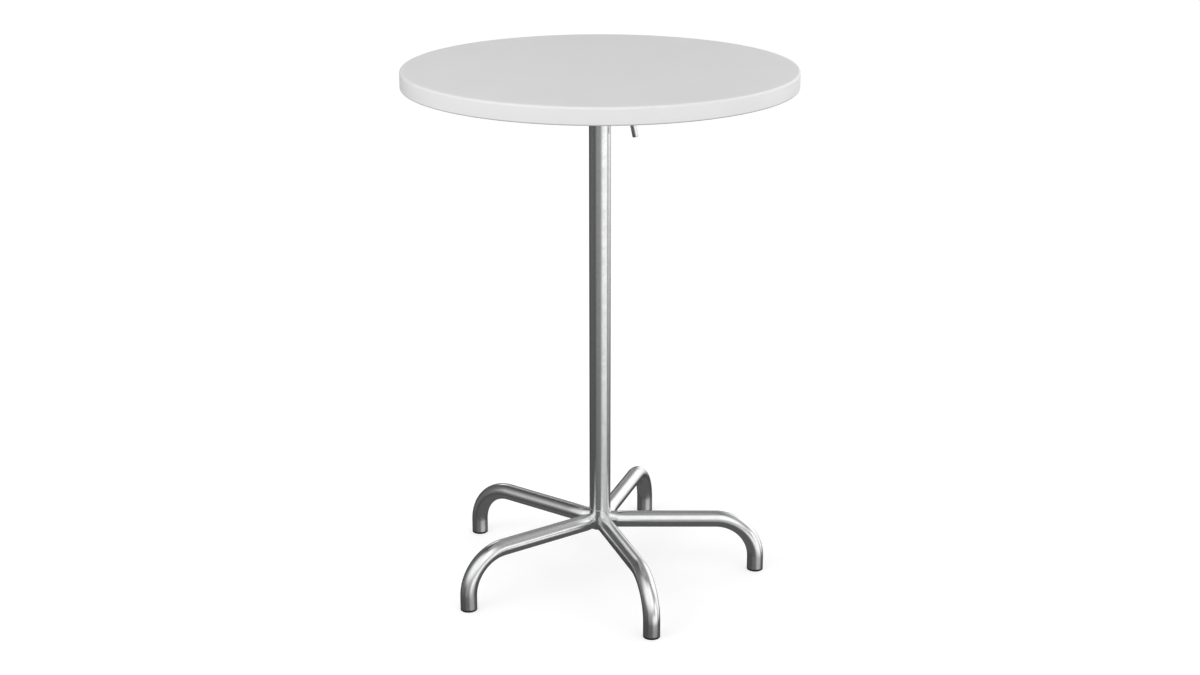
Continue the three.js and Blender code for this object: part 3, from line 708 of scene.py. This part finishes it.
GREY_PLASTIC = moulding("grey_plastic", (0.13, 0.135, 0.14), (0.17, 0.172, 0.176), 0.40, 0.55,
                        1300.0, 150.0, 0.15, 0.0003)
BUSH_START, BUSH_RADIUS, BUSH_LEAD_IN = 0.0153, 0.0197, 0.0012
BUSH_FLANGE_START, BUSH_FLANGE_END, BUSH_FLANGE_RADIUS = 0.0303, 0.0328, 0.023
BUSH_EDGE = 0.0008
bush_profile = [(BOLT_HOLE, BUSH_START), (BUSH_RADIUS - BUSH_LEAD_IN, BUSH_START),
                (BUSH_RADIUS, BUSH_START + BUSH_LEAD_IN), (BUSH_RADIUS, BUSH_FLANGE_START),
                (BUSH_FLANGE_RADIUS, BUSH_FLANGE_START)]
bush_profile += rounded(BUSH_FLANGE_RADIUS - BUSH_EDGE, BUSH_FLANGE_END - BUSH_EDGE, BUSH_EDGE, 0, 90, 4)
bush_profile += [(BOLT_HOLE, BUSH_FLANGE_END)]
for side, turn_round in (("right", 0.0), ("left", math.pi)):
    bush_mesh = turned(bush_profile, 56, closed=True)
    bush_mesh.transform(Matrix.Rotation(turn_round, 4, "Z") @ ALONG_X)
    bush = piece_of("bush_" + side, bush_mesh, GREY_PLASTIC)
    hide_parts("pivot_bush_" + side)
    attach(bush, "stand")


# Table top: a white shell moulded in one piece with its rim, satin on the outside, with a soft round
# upper edge and a small round at the lip. A grey band of painted shade darkens the lowest few millimetres of
# the lip.
WHITE_GELCOAT = moulding("white_gelcoat", (0.785, 0.788, 0.785), (0.797, 0.799, 0.797), 0.33, 0.36,
                         260.0, 9.0, 0.05, 0.0004, gloss=0.45)
TOP_RADIUS = 0.400
TOP_FACE = 1.100
TOP_INSIDE = 1.096
TOP_EDGE = 0.005
RIM_BOTTOM = 1.0655
RIM_INNER = 0.395
LIP_EDGE = 0.002
LIP_INNER_EDGE = 0.0008
# Painted shade: the gelcoat turns grey towards the bottom of the lip, standing in for the shade under its
# edge.
LIP_SHADE_END, LIP_SHADE_FULL = RIM_BOTTOM + 0.0030, RIM_BOTTOM + 0.0016
tree = WHITE_GELCOAT.node_tree
place, height = place_in(tree)
overlaid(WHITE_GELCOAT, eased(tree, height, LIP_SHADE_END, LIP_SHADE_FULL), (0.46, 0.465, 0.46))
top_profile = [(0.0, TOP_INSIDE), (RIM_INNER - 0.003, TOP_INSIDE), (RIM_INNER, TOP_INSIDE - 0.0004),
               (RIM_INNER, RIM_BOTTOM + LIP_INNER_EDGE), (RIM_INNER + LIP_INNER_EDGE, RIM_BOTTOM)]
top_profile += rounded(TOP_RADIUS - LIP_EDGE, RIM_BOTTOM + LIP_EDGE, LIP_EDGE, -90, 0, 8)
top_profile += rounded(TOP_RADIUS - TOP_EDGE, TOP_FACE - TOP_EDGE, TOP_EDGE, 0, 90, 14)
top_profile += [(0.38, TOP_FACE), (0.2, TOP_FACE), (0.0, TOP_FACE)]
top_shell = piece_of("top_moulding", turned(top_profile, 256), WHITE_GELCOAT)
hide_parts("top_shell")
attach(top_shell, "tilting_top")


# Core board: a light birch plywood disc bonded inside the shell. It stiffens the top and takes the
# brass inserts. The CAD solid is kept and gets the wood.
def finish_node(node, finish):
    """Gives a CAD node that stays on show its material."""
    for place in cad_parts[node].material_slots:
        place.material = finish


CORE_WOOD, tree, shader = new_finish("birch_plywood")
PLY_THICKNESS = 0.0019
place, height = place_in(tree)
stretched = add_node(tree, "ShaderNodeMapping", {"Vector": place, "Scale": (3.0, 42.0, 1.0)}).outputs[0]
figure = add_node(tree, "ShaderNodeTexNoise", {
    "Vector": stretched, "Scale": 3.0, "Detail": 8.0, "Roughness": 0.65, "Distortion": 0.8}).outputs[0]
plies = eased(tree, maths(tree, "PINGPONG", height, PLY_THICKNESS), 0.0008, 0.0011)
grain = maths(tree, "MULTIPLY_ADD", plies, 0.3, maths(tree, "MULTIPLY", eased(tree, figure, 0.3, 0.7), 0.7))
colour = blended(tree, grain, (0.56, 0.40, 0.23, 1.0), (0.39, 0.24, 0.11, 1.0), "RGBA")
surfaced(tree, shader, colour, eased(tree, figure, 0.2, 0.8, 0.55, 0.75), figure, 0.3, 0.0005)
finish_node("core_board", CORE_WOOD)


# Threaded inserts: eight turned brass bushes glued into the core board from below.
# The CAD solids are kept and get a turned brass finish.
TURNED_BRASS = metal("turned_brass", (0.50, 0.34, 0.11), (0.62, 0.46, 0.18), 0.24, 0.38,
                     90.0, 500.0, 1600.0, 0.06)
for number in range(1, 9):
    finish_node("insert_%d" % number, TURNED_BRASS)


# Backing skin: the glass-fibre laminate that closes the top from below, rolled on by hand and painted
# white. Its strands show faintly through the paint. The CAD solid is kept.
LAMINATE_BACK = moulding("laminate_back", (0.70, 0.70, 0.69), (0.76, 0.76, 0.75), 0.45, 0.62,
                         900.0, 14.0, 0.10, 0.0004, gloss=0.4)
STRAND_LAYERS = ((0.3, 0.0), (1.2, 3.1), (2.0, 5.7), (2.8, 8.3))
tree = LAMINATE_BACK.node_tree
place = add_node(tree, "ShaderNodeTexCoord").outputs["Object"]
strands = 0.0
for turn_by, shift in STRAND_LAYERS:
    laid = add_node(tree, "ShaderNodeMapping", {
        "Vector": place, "Location": (shift, shift, 0.0), "Rotation": (0.0, 0.0, turn_by),
        "Scale": (28.0, 420.0, 1.0)}).outputs[0]
    layer = add_node(tree, "ShaderNodeTexNoise", {"Vector": laid, "Scale": 1.0, "Detail": 2.0}).outputs[0]
    strands = maths(tree, "MAXIMUM", strands, eased(tree, layer, 0.56, 0.72))
relief = add_node(tree, "ShaderNodeBump", {
    "Height": strands, "Strength": 0.22, "Distance": 0.0004, "Normal": tree.nodes["Bump"].outputs["Normal"]})
tree.links.new(relief.outputs["Normal"], tree.nodes["Principled BSDF"].inputs["Normal"])
finish_node("backing_skin", LAMINATE_BACK)


# Spider plate: a flat cross cut from 5 mm steel sheet, with a broad middle for the bracket, drilled for
# the screws and galvanised. It lies against the backing skin.
def cut_plate(outline, holes, thickness, edge):
    """A plate cut from sheet, with its holes and broken edges, lying level about height 0."""
    sheet = bpy.data.curves.new("sheet", "CURVE")
    sheet.dimensions = "2D"
    sheet.fill_mode = "BOTH"
    sheet.extrude = thickness / 2 - edge
    sheet.bevel_depth = edge
    sheet.bevel_resolution = 0
    sheet.offset = -edge
    for points in (outline, *holes):
        loop = sheet.splines.new("POLY")
        loop.points.add(len(points) - 1)
        loop.points.foreach_set("co", [c for x, y in points for c in (x, y, 0.0, 1.0)])
        loop.use_cyclic_u = True
    joined = bmesh.new()
    joined.from_mesh(settled(added("sheet", sheet)))
    bmesh.ops.remove_doubles(joined, verts=joined.verts, dist=0.00001)
    bmesh.ops.recalc_face_normals(joined, faces=joined.faces)
    return mesh_of(joined)


def round_hole(x, y, radius, count=40):
    """Outline of a drilled hole."""
    return [(x + radius * math.cos(a), y + radius * math.sin(a)) for a in circle_of(count)]


ARM_REACH = 0.205
ARM_HALF = 0.022
MIDDLE_CORNER = (0.0381, 0.058)
MIDDLE_ROUND = 0.007
INNER_CORNER = 0.012
SCREW_RINGS = (0.105, 0.205)
SCREW_HOLE = 0.0045
SPIDER_BOTTOM = 1.0612
SPIDER_TOP = 1.0662
SPIDER_EDGE = 0.0006
BUFFER_DISTANCE = 0.048
BUFFER_BORE = 0.0028


def arm_edge(angle):
    """Distance from the middle to the edge of an arm, along a line so far turned from the arm."""
    along, aside = abs(math.cos(angle)), abs(math.sin(angle))
    if aside * ARM_REACH > ARM_HALF * along:
        return ARM_HALF / aside
    return ARM_REACH * along + math.sqrt(ARM_HALF ** 2 - (ARM_REACH * aside) ** 2)


def middle_edge(angle):
    """Distance from the middle to the edge of the round-cornered rectangle that the cheeks stand on."""
    along, aside = abs(math.cos(angle)), abs(math.sin(angle))
    corner_x, corner_y = MIDDLE_CORNER
    if along * corner_y > aside * (corner_x + MIDDLE_ROUND):
        return (corner_x + MIDDLE_ROUND) / along
    if aside * corner_x > along * (corner_y + MIDDLE_ROUND):
        return (corner_y + MIDDLE_ROUND) / aside
    reach = corner_x * along + corner_y * aside
    return reach + math.sqrt(max(MIDDLE_ROUND ** 2 - (corner_x ** 2 + corner_y ** 2 - reach ** 2), 0.0))


def spider_edge(angle):
    """Edge of the arms and the middle together, with their inner corners rounded."""
    edges = sorted((arm_edge(angle - math.pi / 4), arm_edge(angle + math.pi / 4), middle_edge(angle)))
    near = max(INNER_CORNER - (edges[2] - edges[1]), 0.0) / INNER_CORNER
    return edges[2] + near * near * INNER_CORNER / 4


spider_outline = [(spider_edge(a) * math.cos(a), spider_edge(a) * math.sin(a)) for a in circle_of(1440)]
diagonals = [math.pi / 4 + math.pi / 2 * i for i in range(4)]
spider_holes = [round_hole(ring * math.cos(a), ring * math.sin(a), SCREW_HOLE)
                for ring in SCREW_RINGS for a in diagonals]
spider_holes.append(round_hole(0.0, -BUFFER_DISTANCE, BUFFER_BORE))
spider_mesh = cut_plate(spider_outline, spider_holes, SPIDER_TOP - SPIDER_BOTTOM, SPIDER_EDGE)
spider_mesh.transform(Matrix.Translation((0.0, 0.0, (SPIDER_TOP + SPIDER_BOTTOM) / 2)))
PLATE_CREASE = 25.0
spider = piece_of("spider", spider_mesh, GALVANISED, PLATE_CREASE)
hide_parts("spider_plate")
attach(spider, "tilting_top")


# Screws: eight button-head screws with a hexagon socket, bright zinc plated. They hold the spider
# plate to the brass inserts, two to each arm.
ZINC_PLATED = metal("zinc_plated_steel", (0.60, 0.62, 0.65), (0.72, 0.735, 0.755), 0.16, 0.26,
                    120.0, 700.0, 1500.0, 0.03)
SCREW_HEAD_BOTTOM, SCREW_HEAD_TOP, SCREW_TIP = 1.0559, 1.0609, 1.0832
SCREW_RADIUS, SCREW_HEAD_RADIUS, SCREW_ROUND = 0.0040, 0.0070, 0.0030


def hexagon_socket(bottom, half_width, depth, edge, mouth):
    """First points of a screw's profile: its hexagon socket from the middle out to the round mouth."""
    return [(0.0, bottom + depth), (half_width, bottom + depth, 6), (half_width, bottom + edge, 6),
            (mouth, bottom)]


screw_profile = hexagon_socket(SCREW_HEAD_BOTTOM, 0.0025, 0.0026, 0.0004, 0.0032)
screw_profile += rounded(SCREW_HEAD_RADIUS - SCREW_ROUND, SCREW_HEAD_BOTTOM + SCREW_ROUND, SCREW_ROUND,
                         -90, 0, 8)
screw_profile += [(SCREW_HEAD_RADIUS, SCREW_HEAD_TOP - 0.0004), (0.0067, SCREW_HEAD_TOP),
                  (SCREW_RADIUS, SCREW_HEAD_TOP), (SCREW_RADIUS, SCREW_TIP - 0.0012),
                  (0.0029, SCREW_TIP), (0.0, SCREW_TIP)]
one_screw = turned(screw_profile, 48)
both_rings = bmesh.new()
for ring in SCREW_RINGS:
    both_rings.from_mesh(copied_round(one_screw, 4, ZINC_PLATED, radius=ring, first_angle=math.pi / 4))
screws = piece_of("screws", mesh_of(both_rings), ZINC_PLATED)
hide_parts(*("screw_%d" % number for number in range(1, 9)))
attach(screws, "tilting_top")


# Bracket cheeks: two plates cut from 5 mm steel sheet and welded upright under the spider plate, one on
# each side of the pivot barrel. The left one has a square hole that keeps the bolt from turning.
def hull_outline(circles, steps=720):
    """The tight outline round a set of circles, each given as (x, y, radius)."""
    outline = []
    for angle in circle_of(steps):
        facing = (math.cos(angle), math.sin(angle))
        x, y, radius = max(circles, key=lambda c: c[0] * facing[0] + c[1] * facing[1] + c[2])
        outline.append((x + radius * facing[0], y + radius * facing[1]))
    return outline


CHEEK_INNER = 0.0331
CHEEK_OUTER = 0.0381
CHEEK_EDGE = 0.0005
STOP_BAR_PLACE = (0.0268, -0.020)
STOP_BAR_HOLE = 0.0043
SQUARE_HALF = 0.0065
CHEEK_ROUNDS = ((0.0, 0.0, 0.0183), (*STOP_BAR_PLACE, 0.0093),
                (0.041, 0.0278, 0.004), (-0.041, 0.0278, 0.004))
bolt_holes = {"right": round_hole(0.0, 0.0, BOLT_HOLE, 64),
              "left": [(x * SQUARE_HALF, y * SQUARE_HALF) for x, y in FOUR_CORNERS]}
for side, sign in (("right", 1.0), ("left", -1.0)):
    cheek_holes = [bolt_holes[side], round_hole(*STOP_BAR_PLACE, STOP_BAR_HOLE)]
    cheek_mesh = cut_plate(hull_outline(CHEEK_ROUNDS), cheek_holes, CHEEK_OUTER - CHEEK_INNER, CHEEK_EDGE)
    cheek_mesh.transform(Matrix.Translation((sign * (CHEEK_INNER + CHEEK_OUTER) / 2, 0.0, 0.0)) @ ALONG_X)
    cheek = piece_of("bracket_cheek_" + side, cheek_mesh, GALVANISED, PLATE_CREASE)
    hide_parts("cheek_" + side)
    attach(cheek, "tilting_top")


# Stop bar: a round steel bar through both cheeks, which meets the column when the top is level.
# It is cut to length with broken ends and plug-welded flush in the cheeks.
STOP_BAR_RADIUS = 0.0040
stop_mesh = turned(cut_length(0.0, STOP_BAR_RADIUS, -CHEEK_OUTER, CHEEK_OUTER, 0.0006), 40)
stop_mesh.transform(ALONG_X @ Matrix.Translation((*STOP_BAR_PLACE, 0.0)))
stop_bar = piece_of("stop_rod", stop_mesh, GALVANISED)
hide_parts("stop_bar")
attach(stop_bar, "tilting_top")


# Bracket welds: a bead along the outer foot of each cheek under the spider plate, and a small ring round
# each end of the stop bar. Hand laid and galvanised with the bracket.
FOOT_BEAD_HALF = 0.040
FOOT_BEAD_STEPS = 120
RING_BEAD_RADIUS = 0.0041
bracket_beads = bmesh.new()
for sign in (-1.0, 1.0):
    foot_route = [(sign * (CHEEK_OUTER + 0.0006), -FOOT_BEAD_HALF + 2.0 * FOOT_BEAD_HALF * i / FOOT_BEAD_STEPS,
                   SPIDER_BOTTOM - 0.0008) for i in range(FOOT_BEAD_STEPS + 1)]
    bracket_beads.from_mesh(bead(foot_route, 0.0022, 0.0028, loop=False))
    ring_route = [(sign * CHEEK_OUTER, STOP_BAR_PLACE[0] + RING_BEAD_RADIUS * math.cos(a),
                   PIVOT + STOP_BAR_PLACE[1] + RING_BEAD_RADIUS * math.sin(a)) for a in circle_of(60)]
    bracket_beads.from_mesh(bead(ring_route, 0.0008, 0.0014, sides=8))
bmesh.ops.recalc_face_normals(bracket_beads, faces=bracket_beads.faces)
bracket_welds = piece_of("bracket_welds", mesh_of(bracket_beads), WELD_METAL, WELD_CREASE)
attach(bracket_welds, "tilting_top")


# Buffer: a round rubber stop screwed under the spider plate, which meets the column when the top is
# upright. It is moulded, with a sunk seat for its small socket screw.
BLACK_RUBBER = moulding("black_rubber", (0.012, 0.012, 0.012), (0.022, 0.022, 0.021), 0.62, 0.82,
                        1100.0, 90.0, 0.35, 0.0004, gloss=0.35)
BUFFER_RADIUS = 0.010
BUFFER_BOTTOM = 1.0519
BUFFER_TOP = 1.0609
BUFFER_SEAT = BUFFER_BOTTOM + 0.0045
BUFFER_ROUND = 0.0016
BUFFER_EDGE = 0.0005
UNDER_BUFFER = Matrix.Translation((0.0, -BUFFER_DISTANCE, 0.0))
buffer_profile = [(BUFFER_BORE, BUFFER_SEAT), (0.0053, BUFFER_SEAT), (0.0053, BUFFER_BOTTOM + 0.0006),
                  (0.0059, BUFFER_BOTTOM)]
buffer_profile += rounded(BUFFER_RADIUS - BUFFER_ROUND, BUFFER_BOTTOM + BUFFER_ROUND, BUFFER_ROUND, -90, 0)
buffer_profile += rounded(BUFFER_RADIUS - BUFFER_EDGE, BUFFER_TOP - BUFFER_EDGE, BUFFER_EDGE, 0, 90, 3)
buffer_profile += [(BUFFER_BORE, BUFFER_TOP)]
buffer_mesh = turned(buffer_profile, 56, closed=True)
buffer_mesh.transform(UNDER_BUFFER)
buffer = piece_of("rubber_buffer", buffer_mesh, BLACK_RUBBER)
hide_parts("buffer")
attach(buffer, "tilting_top")

FIXING_BOTTOM, FIXING_HEAD_TOP = 1.0526, 1.0561
FIXING_RADIUS, FIXING_HEAD_RADIUS, FIXING_ROUND = 0.0025, 0.0050, 0.0013
fixing_profile = hexagon_socket(FIXING_BOTTOM, 0.0015, 0.0020, 0.0003, 0.0020)
fixing_profile += rounded(FIXING_HEAD_RADIUS - FIXING_ROUND, FIXING_BOTTOM + FIXING_ROUND, FIXING_ROUND,
                          -90, 0, 5)
fixing_profile += [(FIXING_HEAD_RADIUS, FIXING_HEAD_TOP), (FIXING_RADIUS, FIXING_HEAD_TOP),
                   (FIXING_RADIUS, SPIDER_TOP - 0.0004), (0.0021, SPIDER_TOP), (0.0, SPIDER_TOP)]
buffer_screw_mesh = turned(fixing_profile, 48)
buffer_screw_mesh.transform(UNDER_BUFFER)
buffer_screw = piece_of("buffer_fixing", buffer_screw_mesh, ZINC_PLATED)
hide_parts("buffer_screw")
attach(buffer_screw, "tilting_top")


# Pivot bolt and washer: a domed bolt with a square neck, zinc plated, through both cheeks and the bushes.
# Its thread carries the clamp lever, which draws the cheeks together on a turned washer.
HEAD_END = -0.0444
HEAD_FOOT = -0.0384
HEAD_RADIUS = 0.012
HEAD_RIM, HEAD_DOME = 0.0012, 0.0048
NECK_HALF = 0.0062
BOLT_RADIUS = 0.006
BOLT_END = 0.0592
BOLT_EDGE = 0.0008
dome_steps = 10
dome = [(HEAD_RADIUS * math.sin(a), HEAD_FOOT - HEAD_RIM - HEAD_DOME * math.cos(a))
        for a in [math.pi / 2 * i / dome_steps for i in range(dome_steps + 1)]]
bolt_profile = [(0.0, HEAD_END)] + dome[1:] + [(HEAD_RADIUS, HEAD_FOOT), (NECK_HALF, HEAD_FOOT, 4)]
bolt_profile += [(NECK_HALF, -CHEEK_INNER - 0.0003, 4), (BOLT_RADIUS, -CHEEK_INNER),
                 (BOLT_RADIUS, BOLT_END - BOLT_EDGE), (BOLT_RADIUS - BOLT_EDGE, BOLT_END), (0.0, BOLT_END)]
bolt_mesh = turned(bolt_profile, 64)
bolt_mesh.transform(ALONG_X)
bolt = piece_of("coach_bolt", bolt_mesh, ZINC_PLATED)
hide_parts("pivot_bolt")
WASHER_START, WASHER_END, WASHER_RADIUS = 0.0384, 0.0409, 0.014
washer_mesh = turned(cut_length(BOLT_HOLE, WASHER_RADIUS, WASHER_START, WASHER_END, 0.0004), 56, closed=True)
washer_mesh.transform(ALONG_X)
washer = piece_of("clamp_washer", washer_mesh, ZINC_PLATED)
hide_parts("lever_washer")
for fixing in (bolt, washer):
    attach(fixing, "tilting_top")


# Clamp lever: a turned and threaded steel boss on the end of the bolt, and a plain round bar let into it
# and welded, which leans outwards so that a hand can turn it. Galvanised.
BOSS_START, BOSS_END, BOSS_RADIUS = 0.0412, 0.0712, 0.016
BOSS_DEPTH = 0.019
BOSS_EDGE, BOSS_FOOT_EDGE, BOSS_MOUTH_EDGE = 0.002, 0.0006, 0.0005
boss_profile = [(0.0, BOSS_START + BOSS_DEPTH), (BOLT_HOLE, BOSS_START + BOSS_DEPTH),
                (BOLT_HOLE, BOSS_START + BOSS_MOUTH_EDGE), (BOLT_HOLE + BOSS_MOUTH_EDGE, BOSS_START)]
boss_profile += rounded(BOSS_RADIUS - BOSS_FOOT_EDGE, BOSS_START + BOSS_FOOT_EDGE, BOSS_FOOT_EDGE, -90, 0, 3)
boss_profile += rounded(BOSS_RADIUS - BOSS_EDGE, BOSS_END - BOSS_EDGE, BOSS_EDGE, 0, 90, 8)
boss_profile += [(0.0, BOSS_END)]
boss_mesh = turned(boss_profile, 72)
boss_mesh.transform(ALONG_X)
boss = piece_of("clamp_boss", boss_mesh, GALVANISED)
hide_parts("lever_boss")

LEVER_ROOT, LEVER_LEAN, LEVER_RADIUS = 0.0577, math.radians(11.5), 0.0065
LEVER_START, LEVER_REACH, LEVER_EDGE = 0.0093, 0.0725, 0.001
lever_profile = [(0.0, LEVER_START), (LEVER_RADIUS, LEVER_START)]
lever_profile += rounded(LEVER_RADIUS - LEVER_EDGE, LEVER_REACH - LEVER_EDGE, LEVER_EDGE, 0, 90, 5)
lever_profile += [(0.0, LEVER_REACH)]
lever_mesh = turned(lever_profile, 48)
lever_hang = Matrix.Rotation(math.pi - LEVER_LEAN, 4, "Y")
lever_mesh.transform(Matrix.Translation((LEVER_ROOT, 0.0, PIVOT)) @ lever_hang)
lever = piece_of("clamp_bar", lever_mesh, GALVANISED)
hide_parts("lever_bar")

lean_out, lean_down = math.sin(LEVER_LEAN), math.cos(LEVER_LEAN)
root_route = []
for a in circle_of(90):
    aside, across = LEVER_RADIUS * math.sin(a), LEVER_RADIUS * math.cos(a)
    down = (across * lean_out + math.sqrt(BOSS_RADIUS ** 2 - aside ** 2)) / lean_down
    root_route.append((LEVER_ROOT + across * lean_down + down * lean_out, aside,
                       PIVOT + across * lean_out - down * lean_down))
root_weld = piece_of("lever_weld", bead(root_route, 0.0014, 0.0019), WELD_METAL, WELD_CREASE)
for part in (boss, lever, root_weld):
    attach(part, "clamp_lever")

low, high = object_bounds()
